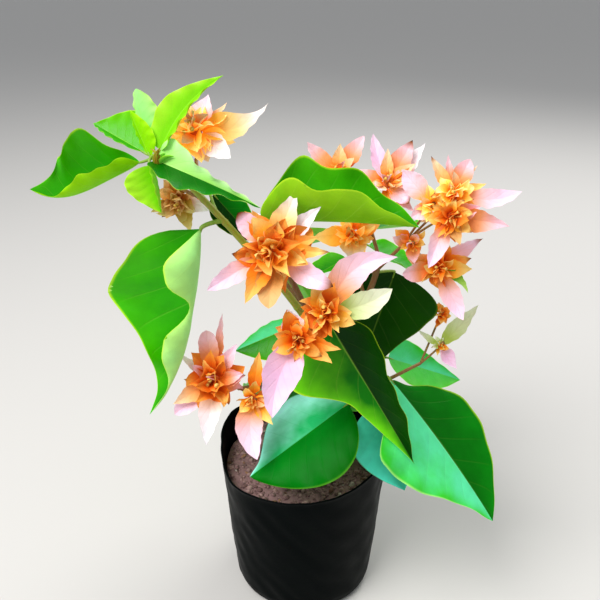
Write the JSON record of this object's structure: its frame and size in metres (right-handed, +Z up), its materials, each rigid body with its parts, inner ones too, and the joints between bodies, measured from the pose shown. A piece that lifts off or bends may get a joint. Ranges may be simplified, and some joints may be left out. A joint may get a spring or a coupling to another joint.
{
  "type": "bougainvillea bush",
  "caption": "Young double-flowered bougainvillea with arching boughs, large folded leaves and orange to pink bract heads, growing in a round black nursery bag of soil.",
  "frame": {"origin": "centre of the nursery bag's flat underside", "axes": "+Z is up, -Y is towards the front that the picture shows, +X is to the right seen from the front"},
  "size_m": [0.2593, 0.2056, 0.3515],
  "materials": {
    "bag": "thin black polythene film, satin with soft creases",
    "soil": "crumbly pinkish brown earth, dry and matt",
    "wood": "thin red-brown bark with fine cracks, matt",
    "shoot": "smooth young olive-green shoot, satin",
    "leaf": "living leaf, glossy above, paler and duller below",
    "blossom": "papery bract, soft and matt with faint veins"
  },
  "bodies": {
    "root": {"nursery_bag": "bag", "potting_soil": "soil", "main_stem": "wood", "left_bough": "shoot", "centre_bough": "wood", "right_bough": "wood", "low_left_bough": "wood", "low_right_bough": "wood", "rear_bough": "wood", "rear_left_bough": "wood", "low_rear_bough": "wood", "growing_tip": "leaf", "hanging_leaf": "leaf", "shoot_leaf": "leaf", "arching_leaf": "leaf", "inner_left_leaf": "leaf", "centre_leaf": "leaf", "shaded_leaf": "leaf", "low_right_leaf": "leaf", "blue_leaf": "leaf", "mid_right_leaf": "leaf", "round_leaf": "leaf", "low_left_leaf": "leaf", "low_rear_right_leaf": "leaf", "rear_leaves": "leaf", "rear_left_leaves": "leaf", "low_rear_leaves": "leaf", "tip_blossom": "blossom", "faded_blossom": "blossom", "large_blossom": "blossom", "centre_blossom": "blossom", "top_blossom": "blossom", "right_blossom": "blossom", "inner_blossom": "blossom", "lower_left_blossom": "blossom", "small_blossom": "blossom", "rear_blossom": "blossom", "rear_left_blossom": "blossom", "low_rear_blossom": "blossom"}
  },
  "joints": []
}
